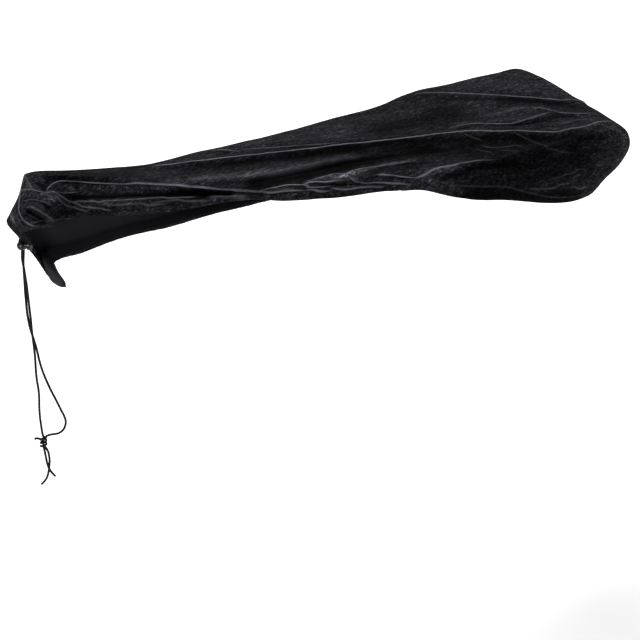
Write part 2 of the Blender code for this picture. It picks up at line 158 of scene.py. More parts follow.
RIGHT = [
    ((896, 285, 21), (900, 290, -30), (893, 283, -84), (872, 260, -92)),
    ((898, 230, 20), (903, 230, -34), (896, 228, -86), (871, 228, -95)),
    ((896, 166, 12), (903, 166, -38), (895, 164, -88), (869, 164, -97), (0.65, 0.35)),
    ((894, 110, 1), (902, 110, -42), (891, 108, -88), (865, 112, -97), (0.75, 0.3)),
    ((888, 60, -4), (899, 56, -42), (883, 56, -89), (856, 66, -97), (0.8, 0.3)),
]
FRONT = [
    ((874, 10, -8), (885, -13, -40), (862, 3, -87), (836, 30, -95), (0.78, 0.34)),
    ((844, -14, -1), (850, -33, -42), (824, -12, -92), (808, 14, -98), (0.6, 0.4)),
    ((800, -20, 5), (800, -39, -44), (792, -26, -95), (786, 0, -102), (0.6, 0.4)),
    ((745, -21, 8), (745, -40, -46), (742, -34, -91), (740, -8, -98), (0.6, 0.4)),
    ((690, -20, 10), (690, -40, -36), (688, -38, -76), (688, -13, -83), (0.6, 0.4)),
    ((640, -18, 12), (640, -38, -28), (640, -36, -60), (640, -16, -66), (0.6, 0.4)),
    ((590, -16, 14), (590, -36, -18), (590, -35, -44), (590, -23, -37), (0.6, 0.4)),
    ((540, -13, 17), (540, -34, -8), (542, -34, -30), (540, -24, -20), (0.6, 0.4)),
    ((500, -8, 20), (500, -28, 2), (504, -27, -16), (498, -16, -6), (0.6, 0.4)),
    ((462, 4, 23), (462, -14, 12), (462, -14, 2), (460, -2, 12), (0.55, 0.45), 10),
    ((414, 18, 26), (414, 3, 17), (414, 2, 8), (414, 14, 17), (0.45, 0.55), 28),
    ((330, 44, 28), (334, 31, 20), (337, 24, 12), (337, 36, 21), (0.4, 0.6), 34),
    ((275, 61, 29), (274, 54, 22), (273, 60, 14), (273, 70, 23), (0.35, 0.65), 34),
    ((241, 90, 27), (240, 84, 20), (240, 92, 14), (240, 102, 22), (0.35, 0.65), 34),
    ((205, 120, 32), (203, 110, 22), (200, 113, 14), (200, 123, 23), (0.3, 0.7), 34),
    ((157, 150, 40), (163, 138, 27), (158, 126, 14), (158, 137, 23), (0.2, 0.8), 34),
    ((109, 185, 46), (100, 163, 32), (105, 146, 15), (105, 158, 24), (0.2, 0.8), 34),
    ((60, 221, 50), (44, 192, 36), (43, 176, 18), (43, 188, 27), (0.2, 0.8), 32),
    ((20, 250, 55), (14, 216, 40), (8, 202, 18), (8, 213, 27), (0.3, 0.7), 24),
]
LEFT = [
    ((-8, 262, 61), (-36, 212, 41), (-29, 206, 14), (-24, 215, 23), (0.45, 0.55), 17),
    ((-19, 266, 67), (-57, 232, 36), (-51, 224, 9), (-42, 229, 18), (0.55, 0.48), 15),
    ((-27, 270, 69), (-63, 254, 27), (-59, 246, 0), (-50, 250, 8), (0.56, 0.48), 10),
    ((-31, 276, 68), (-67, 279, 12), (-60, 269, -14), (-54, 259, -10), (0.56, 0.56)),
    ((-32, 282, 67), (-71, 288, 4), (-59, 281, -31), (-50, 256, -40), (0.56, 0.66)),
    ((-30, 287, 66), (-72, 291, 1), (-47, 286, -47), (-45, 213, -74), (0.56, 0.7)),
]

# A long fold in the top: a ridge if height is above zero and a trough if it is below, from
# start to end in plan, bowed sideways in the middle, narrower on its front side than behind.
Fold = namedtuple("Fold", "start end bow behind front height")

FOLDS = [
    ((120, 290), (850, -30), -14, 46, 22, 9),
    ((215, 245), (700, 5), -8, 26, 26, -7),
    ((255, 285), (470, 175), -6, 16, 12, 4),
    ((700, 262), (880, 95), 10, 22, 16, 4),
    ((610, 130), (800, 60), -10, 20, 14, 4),
]

# A crease is a soft crest, or a furrow if height is below zero. Left and right are its half
# widths on the two sides of its line, and glow is how light the painted highlight along it is,
# or how dark the painted shade in it if it is below zero, within the half width spread. It fades
# in to its second point and out from the last but one. Its points are pixels of the camera's
# picture.
Crease = namedtuple("Crease", "height left right glow spread points")

TOP_CREASES = [
    (3.5, 16, 7, 1.05, 0.95, [
        (146, 167), (160, 165.5), (180, 163.3), (200, 160.8), (220, 158.4), (240, 156.2),
        (260, 154.2), (280, 152), (300, 149.8), (325, 147), (350, 143.8), (370, 141.7),
        (390, 139.6), (410, 137.3), (430, 134.8), (450, 132.8), (465, 131.3), (490, 131.4),
        (520, 131.1), (540, 131.8), (556, 132), (570, 129.2), (585, 126.4), (597, 122.8),
        (606, 121.8), (614, 123)]),
    (-1.5, 8, 8, -0.6, 9, [
        (180, 170), (230, 165), (270, 160.5), (350, 151), (430, 142), (500, 139), (555, 140),
        (590, 136), (610, 134)]),
    (2.5, 9, 4, 0.5, 1.6, [
        (206, 151.4), (222, 150.1), (240, 149.5), (260, 148.8), (285, 147.3), (308, 146),
        (328, 145.3), (345, 143.4)]),
    (-3, 4, 4, -0.9, 2.5, [
        (206, 156), (240, 152.4), (280, 149.4), (305, 147.7), (330, 146), (348, 143.9)]),
    (3, 18, 9, 0.75, 1.2, [
        (408, 95.5), (430, 93), (450, 93.2), (480, 94.3), (500, 95.4), (520, 96.6), (545, 98.6),
        (562, 100.2), (582, 101.8), (590, 102.6)]),
    (-2, 9, 9, -0.4, 8, [
        (430, 99), (460, 100), (490, 100.5), (520, 101.5), (555, 105), (580, 107)]),
    (3, 12, 8, 0.6, 1.2, [
        (528, 108.2), (538, 108), (546, 109), (552, 111), (560, 112.6), (572, 113.2), (586, 113.8),
        (600, 114.4)]),
    (3, 22, 12, 0.1, 6, [(474, 119), (490, 115.5), (510, 110.5), (525, 108.3), (536, 107.8)]),
    (4, 16, 9, 0.5, 1.4, [
        (444, 130.4), (452, 128.6), (460, 126), (470, 124.2), (484, 123.5), (500, 123.2),
        (512, 122.5), (522, 120.2), (532, 117.4), (543, 114.2), (553, 112.2)]),
    (-3, 8, 8, -0.6, 5, [(470, 128), (510, 127.5), (540, 123), (560, 118.5), (590, 117.5)]),
    (1.5, 6, 5, 0.2, 2, [
        (556, 127), (566, 123.3), (576, 121), (585, 120), (594, 120.8), (602, 122)]),
    (1, 5, 5, 0.3, 1.3, [(597, 123), (603, 126), (610, 129), (617, 131.2)]),
    (5.5, 26, 9, 0.17, 4.5, [
        (184, 180.6), (208, 178.6), (225, 177.4), (250, 174.9), (270, 171.7), (290, 168.2),
        (308, 164.5), (324, 160.6), (341, 157.4), (374, 153)]),
    (-5, 10, 10, -1.5, 7, [
        (240, 187), (262, 182.5), (280, 178.5), (300, 175.5), (320, 171), (340, 167), (362, 162.5),
        (410, 155)]),
]
FRONT_CREASES = [
    (1, 6, 6, 1.15, 0.75, [
        (46, 191), (48.5, 188.2), (51, 185.3), (55, 182.8), (60, 181.1), (66, 180.7), (80, 181.7),
        (95, 183), (115, 183.6), (135, 183.7), (152, 184), (172, 185.4), (196, 187.4), (256, 192)]),
    (0.6, 4, 4, 0.45, 0.75, [
        (200, 187.8), (225, 189.8), (238, 190.8), (250, 191.4), (264, 192), (280, 191.8)]),
    (-3, 4, 4, -0.15, 4, [(46, 172), (47.5, 177), (47.5, 184), (44.5, 190), (42, 194)]),
    (-4, 7, 6, -1.25, 4.5, [
        (64, 198), (80, 198.4), (95, 198.8), (115, 198.4), (130, 197.8), (155, 197), (180, 196.4),
        (205, 195.6), (225, 194.6), (240, 194.4)]),
    (2.4, 5, 8, 0.45, 1.2, [
        (70, 203), (78, 201.3), (90, 201.3), (99, 202.4), (108, 201.2), (118, 201.2), (132, 200),
        (150, 198.6), (168, 197.8), (185, 197.3), (200, 196.5)]),
    (1.5, 4, 5, 0.3, 1.4, [(150, 204), (165, 201.5), (185, 201), (200, 200.2), (215, 201)]),
    (1.5, 4, 5, 0.3, 1.4, [
        (98, 205.5), (107, 204.5), (118, 205), (128, 203.6), (140, 204.4), (155, 205.5),
        (170, 204.6)]),
    (1.5, 4, 5, 0.2, 2, [(205, 198), (218, 196.6), (230, 196.4), (242, 197.4), (252, 197.6)]),
    (1.6, 6, 5, 1.45, 1.2, [
        (258, 191.4), (278, 187.4), (286, 185.4), (294, 185), (304, 185.6), (314, 184),
        (350, 180.4)]),
    (1.5, 4, 4, 0.75, 1.1, [
        (262, 192.6), (271, 192.4), (282, 191.6), (294, 190.6), (308, 190.8), (320, 192),
        (334, 191.6)]),
    (1.5, 4, 4, 0.7, 1.1, [(297, 186.8), (308, 187.6), (322, 187.5), (331, 186.6)]),
    (1.5, 4, 4, 0.65, 1.1, [
        (328, 188.4), (337, 189.6), (346, 190), (354, 188.8), (362, 187.3), (374, 186.8),
        (388, 186)]),
    (-2.5, 4, 4, -0.6, 2, [(305, 186.2), (325, 185.2), (345, 185.5), (365, 185.2), (380, 184.8)]),
    (2, 5, 4, 0.65, 0.9, [
        (346, 177.3), (351, 179), (357, 181.5), (364, 182.6), (376, 182.9), (390, 183.2),
        (402, 183.8), (414, 184.4)]),
    (4.5, 5, 16, 0.42, 1.8, [
        (302, 184.5), (309, 181.5), (317, 178.3), (326, 176.2), (335, 173.8), (345, 174.3),
        (351, 171.2), (360, 169), (374, 166.8), (388, 163.6), (402, 161.6), (418, 160.4)]),
    (-3, 7, 7, -0.9, 5, [(372, 173), (385, 170.5), (400, 168), (415, 165.5), (432, 161)]),
    (2.2, 5, 4, 0.8, 0.9, [
        (372, 176.6), (384, 175.2), (392, 175.4), (400, 177), (410, 178), (420, 178)]),
    (4, 6, 10, 0.78, 1.4, [
        (414, 179), (421, 176.6), (427, 173.4), (433, 170), (440, 167.7), (452, 165), (466, 162),
        (502, 158.8)]),
    (-3, 8, 8, -0.7, 7, [(430, 181), (450, 177), (470, 170), (495, 166), (530, 165)]),
    (1.5, 6, 6, 0.12, 1.5, [
        (508, 132), (516, 134), (526, 138), (534, 142), (545, 147), (555, 150.4), (566, 152.4),
        (578, 152.8)]),
    (1.2, 5, 5, 0.14, 1.7, [(462, 134), (469, 136), (477, 138.8), (485, 142)]),
    (1.2, 5, 5, 0.13, 2, [(474, 149.6), (480, 150.6), (488, 152), (496, 155)]),
    (1.2, 5, 5, 0.16, 2, [
        (478, 144), (486, 147), (498, 148), (508, 146.8), (518, 146), (528, 148.8)]),
    (1.2, 5, 5, 0.14, 2, [(496, 151.4), (506, 150.8), (514, 151.2), (520, 152)]),
    (0.8, 5, 5, 0.18, 1.2, [
        (545, 180.8), (552, 178.6), (562, 175.8), (572, 172.5), (582, 169.6), (592, 167.4)]),
    (0.8, 5, 5, 0.25, 1.3, [
        (526, 190), (536, 189.8), (547, 188.6), (557, 186), (566, 182.8), (576, 179.6)]),
    (0.6, 4, 4, 0.22, 1.2, [(570, 178.4), (576, 176.8), (583, 175)]),
    (0.6, 4, 4, 0.42, 1.6, [(568, 189), (576, 187.8), (583, 186.6), (588, 186)]),
]
END_CREASES = [
    (2.5, 5, 5, 0.6, 1, [
        (21.5, 190.6), (26, 189.8), (33, 190.4), (41, 192), (48, 192.8), (56, 193.2), (66, 193.2),
        (74, 192.4), (80, 192)]),
    (2.5, 4, 4, 0.85, 1, [
        (24, 189.6), (21, 193), (19.6, 199), (19.2, 206), (19.6, 211.5), (21.5, 217), (25.5, 221.5),
        (31, 224.6), (39, 226)]),
    (1, 3, 3, 0.3, 1, [(15.5, 208), (16.4, 213), (19, 219), (23, 224), (28, 228)]),
    (0, 3, 3, -0.6, 2, [
        (18, 196), (17.3, 202), (17.2, 208), (18.2, 214), (21, 219.4), (25, 223.6), (29, 226.6)]),
    (2, 4, 4, 0.35, 1.1, [
        (21, 203), (24.5, 199.8), (30, 198.3), (37, 198.6), (43, 200.6), (48, 203.6), (53, 207)]),
    (-4, 4, 4, -0.8, 2.6, [
        (23, 205), (27, 201.8), (33, 200.8), (40, 203), (47, 207.5), (53, 212.5)]),
    (2.5, 3, 4, 0.42, 1.3, [
        (25, 207.6), (28, 205.9), (32, 205.9), (36, 208.4), (41, 212), (46, 215.2), (50.5, 217.6),
        (54, 220.4)]),
    (-4, 6, 6, -1.1, 6, [(25, 210), (30, 211.5), (37, 216), (44, 220), (50, 222)]),
    (1.2, 2, 2, 0.15, 1, [(24, 212), (28, 215), (34, 219), (42, 222)]),
    (2, 4, 4, 0.45, 1.1, [
        (48, 192.8), (53, 193.2), (57, 194.6), (60.5, 197.2), (66, 200.2), (72, 202.6), (78, 204.2),
        (82, 206.6), (90, 208.4), (99, 208.4), (107, 210.4), (114, 211)]),
    (2, 4, 4, 0.4, 1.1, [
        (54, 196), (57.5, 199), (61, 202.3), (64.5, 205.2), (70, 206.4), (76, 208.2), (83, 210.4),
        (90, 211.4)]),
    (1.5, 3, 3, 0.6, 1.2, [(47, 199.8), (49, 198.5), (51, 199.2), (53.5, 200.8), (55, 203)]),
    (1.2, 3, 3, 0.3, 1.2, [(42, 194.5), (48, 195.6), (54, 198.6), (57, 203)]),
    (2, 4, 4, 0.45, 1.1, [(25, 174), (26, 177.6), (28, 182.4), (31, 187), (33.4, 190)]),
]

# A patch of painted light where its tone is above zero, or of painted shade where it is below.
# Its points are pixels of the camera's picture too, and radius is on the cloth.
PaintedLightPatch = namedtuple("PaintedLightPatch", "tone radius points")

PAINTED_LIGHT_PATCHES = [
    (0.35, 60, [(470, 82), (515, 84), (560, 92)]),
    (0.45, 40, [(250, 142), (300, 135), (340, 130)]),
    (-1, 32, [(385, 130), (415, 122), (445, 115)]),
    (0.45, 20, [(498, 115), (520, 112), (540, 110)]),
    (-0.6, 18, [(510, 102), (560, 106), (580, 109)]),
    (-0.4, 20, [(180, 170), (230, 165), (262, 161.5)]),
    (-1, 18, [(290, 157), (310, 154), (350, 149)]),
    (-0.6, 28, [(370, 151), (410, 147), (450, 146), (490, 148)]),
    (-0.4, 22, [(465, 141), (500, 143), (530, 142)]),
    (-0.7, 26, [(450, 153), (490, 153), (530, 152)]),
    (-0.5, 30, [(515, 140), (545, 150), (575, 150)]),
    (-0.7, 34, [(480, 174), (520, 172), (560, 165), (585, 160)]),
    (-1.6, 12, [(470, 194), (500, 196), (540, 198), (575, 197)]),
    (0.65, 16, [(612, 126), (622, 138), (626, 150)]),
    (-2.2, 14, [(258, 186), (278, 181), (300, 177), (325, 171), (345, 166)]),
    (-2.2, 18, [(352, 164), (370, 160), (400, 156), (430, 152)]),
    (-1, 10, [(372, 172.5), (390, 170), (410, 168)]),
    (1.5, 9, [(312, 182), (330, 179.5), (348, 177), (362, 173), (380, 169), (396, 165.5)]),
    (0.8, 9, [(403, 163.5), (415, 161.8)]),
    (0.9, 5, [(338, 180.5), (345, 179), (350, 180)]),
    (0.7, 8, [(424, 178), (432, 174.5), (442, 171.5), (455, 168.4), (468, 165)]),
    (0.2, 8, [(215, 196), (235, 196), (250, 196)]),
    (1.05, 12, [
        (174, 183), (190, 181), (210, 179.5), (235, 178.5), (260, 175), (285, 171), (305, 168)]),
    (-0.9, 18, [(60, 176), (90, 176), (130, 175)]),
    (0.6, 6, [(322, 162), (338, 159), (354, 156.5)]),
    (1.1, 6, [(60, 186), (90, 188), (130, 188.6), (165, 189)]),
    (-2.2, 8, [(66, 196.6), (90, 197), (130, 196), (170, 195.4), (205, 194.6)]),
    (0.5, 12, [(33, 176), (38, 178)]),
    (1, 8, [(24, 180), (22, 186), (20.5, 192)]),
    (0.5, 14, [(30, 194), (40, 196)]),
    (-0.8, 10, [(60, 212), (80, 213.5), (110, 214)]),
    (1.8, 6, [(12, 217), (15, 219)]),
]

# Each cord's route: the two leads come out of the hem into the lock, the two strands go from
# the lock down to the knot, and the tails hang from the knot. The strands cross twice, one
# behind the other.
CORD_ROUTES = {
    "drawcord_lead_left": [
        (-55.4, 254.2, -23), (-56.6, 251.8, -18), (-59, 250.6, -13.2), (-62.8, 250.8, -10.6),
        (-67.2, 250, -12.4), (-69.4, 249.9, -15.2), (-69.8, 249.9, -17.1),
    ],
    "drawcord_lead_right": [
        (-55.3, 256.4, -17.4), (-55.8, 256, -13.4), (-57.8, 255.4, -9.8), (-61.2, 254.6, -8.4),
        (-64.6, 254, -10.4), (-66, 253.8, -13.8), (-66.2, 253.8, -17.2),
    ],
    "drawcord_strand_left": [
        (-69.5, 250, -32), (-71, 250, -38), (-72.5, 250, -46), (-73, 250, -54), (-73.5, 250, -62.5),
        (-74.5, 250, -74.5), (-75.5, 250, -87), (-77, 250, -99.5), (-78.5, 250, -112),
        (-80.5, 250, -128.5), (-82.5, 250, -145.5), (-85, 250, -162.5), (-87, 250, -180),
        (-89, 250, -197.5), (-91.5, 250, -215), (-94.5, 250, -232), (-97, 250, -250.5),
        (-98.5, 250, -269), (-101, 250, -284.5), (-104.5, 250, -301), (-107.5, 250, -320),
        (-109, 250.5, -335), (-110, 251, -347), (-110.2, 251.6, -355.4),
    ],
    "drawcord_strand_right": [
        (-66, 254, -32), (-68, 254, -40), (-70.5, 254, -49.5), (-72.5, 254, -59),
        (-74.5, 254, -70.5), (-76.5, 254, -82.5), (-79, 254, -96.5), (-81.5, 254, -113),
        (-84, 254, -130.5), (-85.5, 254, -146.5), (-86, 254, -162.5), (-85, 254, -182),
        (-84.5, 254, -201), (-85, 254, -219.5), (-84.5, 254, -238.5), (-82.5, 254, -258.5),
        (-79.5, 254, -279), (-75.5, 254, -300.5), (-72, 254, -321), (-69.5, 254, -334.5),
        (-69, 254, -345.5), (-72, 254, -354.5), (-78, 254, -361), (-85, 254, -363),
        (-92.5, 254, -361.5), (-98.5, 253.5, -359.5), (-105.2, 253, -359),
    ],
    "drawcord_tail_right": [
        (-114, 250.2, -378.6), (-114.5, 250, -388), (-115, 250, -397), (-115.5, 250, -408),
        (-115, 250, -418), (-113.5, 250, -426), (-111, 250, -433), (-108.5, 250, -439),
    ],
    "drawcord_tail_left": [
        (-111.3, 254, -378.6), (-109.5, 254, -384.5), (-108.5, 254, -392), (-109, 254, -400),
        (-110, 254, -408), (-112, 254, -415.5), (-115, 254, -424.5), (-118.5, 254, -433.5),
        (-123.5, 254, -441), (-128.5, 254, -445), (-133, 254, -447.5),
    ],
}

# The knot: one strand runs down through it, the other is wound round that one, and a short end
# sticks out of it. Its axis runs from KNOT_TOP to KNOT_FOOT.
KNOT_TOP = (-109.8, 252, -356)
KNOT_FOOT = (-113.7, 252, -376.4)
KNOT_WRAPS = 2.5
WRAP_STEPS = 10  # points for each wrap
WRAP_WIDTH = 4.5  # from the axis to the middle of the winding cord
WRAP_DEPTH = 3.6
WRAP_MARGIN = 0.13  # share of the axis that has no wraps, at each end
STUB = [(-110.5, 251, -360.6), (-114.5, 250.8, -359.4), (-118.6, 251.2, -356.6),
        (-121.4, 251.8, -355.2), (-124.2, 252.2, -356.2)]


def unit(vectors):
    """Vectors of length one, along the same directions."""
    return vectors / np.maximum(np.linalg.norm(vectors, axis=-1, keepdims=True), 1e-9)


def travelled(line):
    """How far along a row of points each of them is."""
    return np.concatenate([[0.0], np.cumsum(np.linalg.norm(np.diff(line, axis=0), axis=1))])


def hermite_tangents(points, knots):
    """The slope at every point of a smooth curve through points, a knot for each."""
    spans = np.diff(knots, axis=0)
    slopes = np.diff(points, axis=0) / spans
    before, after = spans[:-1], spans[1:]
    inner = (slopes[:-1] * after + slopes[1:] * before) / (before + after)
    return np.concatenate([slopes[:1], inner, slopes[-1:]])


def hermite(start, end, start_slope, end_slope, span, share):
    """The point at a share of the way along one span of a smooth curve."""
    s2, s3 = share**2, share**3
    return (
        (2 * s3 - 3 * s2 + 1) * start
        + (s3 - 2 * s2 + share) * span * start_slope
        + (3 * s2 - 2 * s3) * end
        + (s3 - s2) * span * end_slope
    )


def curve_at(points, knots, places):
    """A smooth curve through rows of points, read at places measured along its knots."""
    slopes = hermite_tangents(points, knots[:, None])
    index = np.clip(np.searchsorted(knots, places, side="right") - 1, 0, len(knots) - 2)
    span = (knots[index + 1] - knots[index])[:, None]
    share = ((places - knots[index])[:, None]) / span
    return hermite(points[index], points[index + 1], slopes[index], slopes[index + 1],
                   span, share)


def smooth_line(points, step):
    """Evenly spaced points on a smooth curve through the given ones."""
    points = np.array(points, float)
    knots = travelled(points)
    count = max(round(knots[-1] / step), 2) + 1
    return curve_at(points, knots, np.linspace(0, knots[-1], count))


def eased(line, times):
    """A row of points or directions, evened out but for its two ends."""
    for _ in range(times):
        inner = 0.25 * line[:-2] + 0.5 * line[1:-1] + 0.25 * line[2:]
        line = np.concatenate([line[:1], inner, line[-1:]])
    return line


def section_columns():
    """Every column's section around the cover, and the index of its four corner columns."""
    sides = [BACK, RIGHT, FRONT, LEFT]
    steps = [LONG_STEPS, SHORT_STEPS, LONG_STEPS, SHORT_STEPS]
    rows = np.array([
        [*row.shoulder, *row.belly, *row.edge, *row.hem, *row.knee, row.reach]
        for side in sides for row in [Section(*values) for values in side]
    ], dtype=float)
    wrap = 3  # sections of overlap, so that the curves close smoothly
    closed = np.concatenate([rows[-wrap:], rows, rows[:wrap + 1]])
    places = closed[:, :12].reshape(len(closed), 4, 3)
    lengths = np.linalg.norm(np.diff(places, axis=0), axis=2).mean(axis=1)
    knots = np.concatenate([[0.0], np.cumsum(lengths)])
    columns, corners = [], []
    first = wrap
    for side, count in zip(sides, steps):
        last = first + len(side)
        corners.append(len(columns))
        columns += list(np.linspace(knots[first], knots[last], count, endpoint=False))
        first = last
    return curve_at(closed, knots, np.array(columns)), corners


def fold_height(x, y, fold):
    """How far one fold lifts the top at a place in plan."""
    start, end = np.array(fold.start, float), np.array(fold.end, float)
    length = np.linalg.norm(end - start)
    along = (end - start) / length
    share = ((x - start[0]) * along[0] + (y - start[1]) * along[1]) / length
    offset = (y - start[1]) * along[0] - (x - start[0]) * along[1]
    offset = offset - fold.bow * 4 * share * (1 - share)
    width = np.where(offset > 0, fold.behind, fold.front)
    fade = np.sin(np.pi * np.clip(share, 0, 1)) ** FOLD_ENDS
    return fold.height * fade * np.exp(-((offset / width) ** 2))


def top_grid(columns, corners):
    """The top's points, as rows from the back to the front, between its four borders."""
    shoulder = columns[:, :3]
    back = shoulder[corners[0]:corners[1] + 1]
    right = shoulder[corners[1]:corners[2] + 1]
    front = shoulder[corners[2]:corners[3] + 1][::-1]
    left = np.concatenate([shoulder[corners[3]:], shoulder[:1]])[::-1]
    u = np.linspace(0, 1, len(back))[None, :, None]
    v = np.linspace(0, 1, len(right))[:, None, None]
    grid = (1 - v) * back[None] + v * front[None] + (1 - u) * left[:, None] + u * right[:, None]
    grid = grid - (1 - u) * (1 - v) * back[0] - u * (1 - v) * back[-1]
    grid = grid - (1 - u) * v * front[0] - u * v * front[-1]
    inner = np.minimum(np.sin(np.pi * v) * FADE_BACK, 1)
    inner = inner * np.minimum(np.sin(np.pi * u) * FADE_ENDS, 1)
    for fold in FOLDS:
        grid[..., 2] += inner[..., 0] * fold_height(grid[..., 0], grid[..., 1], Fold(*fold))
    return grid


def side_rows(columns, inside):
    """Rows of points down the sides, from the shoulder to the hem, one for each column."""
    shoulder, belly, edge, hem = (columns[:, i:i + 3] for i in (0, 3, 6, 9))
    knee_out, knee_down, reach = columns[:, 12:13], columns[:, 13:14], columns[:, 14:15]
    around = np.roll(edge, -1, axis=0) - np.roll(edge, 1, axis=0)
    inwards = unit(np.stack([around[:, 1], -around[:, 0], np.zeros(len(edge))], axis=1))
    folded = np.clip(reach / FOLDED_REACH, 0, 1)
    knee = shoulder + (belly - shoulder) * np.hstack([knee_out, knee_out, knee_down])
    flat = edge + inwards * reach * FOLDED_FLAT
    turn = edge + inwards * reach + (hem - edge) * [0, 0, FOLDED_TURN]
    under = (edge * 2 + hem) / 3 * (1 - folded) + flat * folded
    turn = (edge + hem * 2) / 3 * (1 - folded) + turn * folded
    points = np.stack([inside, shoulder, knee, belly, edge, under, turn, hem])
    gaps = np.sqrt(np.linalg.norm(np.diff(points, axis=0), axis=2, keepdims=True))
    knots = np.concatenate([np.zeros((1, *gaps.shape[1:])), np.cumsum(gaps, axis=0)])
    slopes = hermite_tangents(points, knots)
    rows = []
    for i, steps in enumerate(SPAN_STEPS, start=1):
        for step in range(steps):
            rows.append(hermite(points[i], points[i + 1], slopes[i], slopes[i + 1],
                                gaps[i], (step + 1) / steps))
    return np.array(rows)


def sheet_middle():
    """The sheet's points as one array, its four-sided faces, the numbers of its points in rings
    from the top's border down to the hem, and those in the top's grid."""
    columns, corners = section_columns()
    grid = top_grid(columns, corners)
    tall, wide = grid.shape[:2]
    number = np.arange(tall * wide).reshape(tall, wide)
    border, beside = (np.concatenate([
        number[i, :-1], number[:-1, -1 - i], number[-1 - i, :0:-1], number[:0:-1, i]
    ]) for i in (0, 1))
    points = grid.reshape(-1, 3)
    rows = side_rows(columns, points[beside])
    count = len(border)
    below = len(points) + np.arange(len(rows) * count).reshape(len(rows), count)
    rings = np.concatenate([border[None], below])
    points = np.concatenate([points, rows.reshape(-1, 3)])
    return points, layer_faces(number, rings), rings, number


def layer_faces(grid, rings):
    """The four-sided faces between the points of a grid and between those of rings below it."""
    top = np.stack([grid[:-1, :-1], grid[1:, :-1], grid[1:, 1:], grid[:-1, 1:]], axis=-1)
    after = np.roll(rings, -1, axis=1)
    side = np.stack([rings[:-1], after[:-1], after[1:], rings[1:]], axis=-1)
    return np.concatenate([top.reshape(-1, 4), side.reshape(-1, 4)])


def inner_layer(rings, number):
    """The inner side's faces, half as fine, and the faces that close the hem."""
    hem = rings[-1]
    closing = []
    for i in range(0, len(hem), 2):
        a, b, c = hem[i], hem[i + 1], hem[(i + 2) % len(hem)]
        closing.append([(a, False), (b, False), (c, False), (c, True), (a, True)])
    return layer_faces(number[::2, ::2], rings[::2, ::2]).tolist(), closing


def hem_distance(points, rings):
    """How far each point of the sides is from the hem, down its section of the cover."""
    distance = np.full(len(points), FAR)
    steps = np.linalg.norm(np.diff(points[rings], axis=0), axis=2)
    down = np.concatenate([np.cumsum(steps[::-1], axis=0)[::-1], np.zeros((1, steps.shape[1]))])
    distance[rings] = down
    return distance


def point_normals(points, faces):
    """The sheet's direction at each point, averaged from the faces around it."""
    corners = points[faces]
    direction = np.cross(corners[:, 2] - corners[:, 0], corners[:, 3] - corners[:, 1])
    total = np.zeros_like(points)
    for corner in range(4):
        np.add.at(total, faces[:, corner], direction)
    return unit(total)


def waves(points, size, seed):
    """Smooth random heights between about -1 and 1, in waves of a size in millimetres."""
    aside = Vector([seed * offset for offset in WAVE_SEED])
    return np.array([bpy_noise.noise(Vector(point) / size + aside) for point in points])


def uneven_height(points, from_hem):
    """How far the cloth's waves and its puckers at the seam and the hem lift each point."""
    height = sum(waves(points, size, seed) * tall
                 for seed, (size, tall) in enumerate(WAVES, start=1))
    pucker = np.exp(-((from_hem - SEAM_DISTANCE) / SEAM_PUCKER) ** 2)
    pucker += np.exp(-(from_hem / HEM_PUCKER) ** 2)
    size, tall = PUCKER
    return height + pucker * waves(points, size, len(WAVES) + 1) * tall


def bulge(points, normals, faces):
    """How far each point stands proud of the cloth around it."""
    pairs = np.concatenate([faces[:, [i, (i + 1) % 4]] for i in range(4)])
    count = np.bincount(pairs.ravel(), minlength=len(points))[:, None]
    even = points.copy()
    for _ in range(BULGE_EASING):
        total = np.zeros_like(even)
        for axis in range(3):
            total[:, axis] += np.bincount(pairs[:, 0], even[pairs[:, 1], axis], len(points))
            total[:, axis] += np.bincount(pairs[:, 1], even[pairs[:, 0], axis], len(points))
        even = (even + total / count) / 2
    return ((points - even) * normals).sum(1)


def picture_to_cloth(places, points, normals, skin):
    """Where the camera's rays through places in its picture first meet the cloth. A place
    beside it goes to the nearest point that faces the camera."""
    rays = points - CAMERA_PLACE
    facing = np.nonzero((rays * normals).sum(1) < 0)[0]
    rays = unit(rays[facing])
    met = []
    for x, y in places:
        aside = np.array(CAMERA_RIGHT) * (x - PICTURE / 2) + np.array(CAMERA_UP) * (PICTURE / 2 - y)
        way = unit(aside - CAMERA_BACK * PICTURE * CAMERA_LENS / SENSOR_WIDTH)
        place = skin.ray_cast(CAMERA_PLACE, way.tolist())[0]
        if place is None:
            place = points[facing[(rays @ way).argmax()]]
        met.append(tuple(place))
    return np.array(met)


def in_picture(points):
    """Where points are in the camera's picture."""
    rays = points - CAMERA_PLACE
    scale = PICTURE * CAMERA_LENS / SENSOR_WIDTH / -(rays @ CAMERA_BACK)
    places = np.stack([rays @ CAMERA_RIGHT, -(rays @ CAMERA_UP)], axis=1)
    return PICTURE / 2 + places * scale[:, None]


def crease_route(crease, points, normals, tree, skin):
    """A crease's points on the flat cloth, so that they are in place once it is raised."""
    places = np.array(crease.points, float)
    heights = np.full((len(places), 1), float(crease.height))
    heights[[0, -1]] = 0.0
    tries = places.copy()
    for _ in range(ROUTE_TRIES):
        met = picture_to_cloth(tries, points, normals, skin)
        nearest = [tree.find(place)[1] for place in met]
        raised = in_picture(met + normals[nearest] * heights)
        tries += np.clip(places - raised, -ROUTE_STEP, ROUTE_STEP) / 2
    return picture_to_cloth(tries, points, normals, skin)


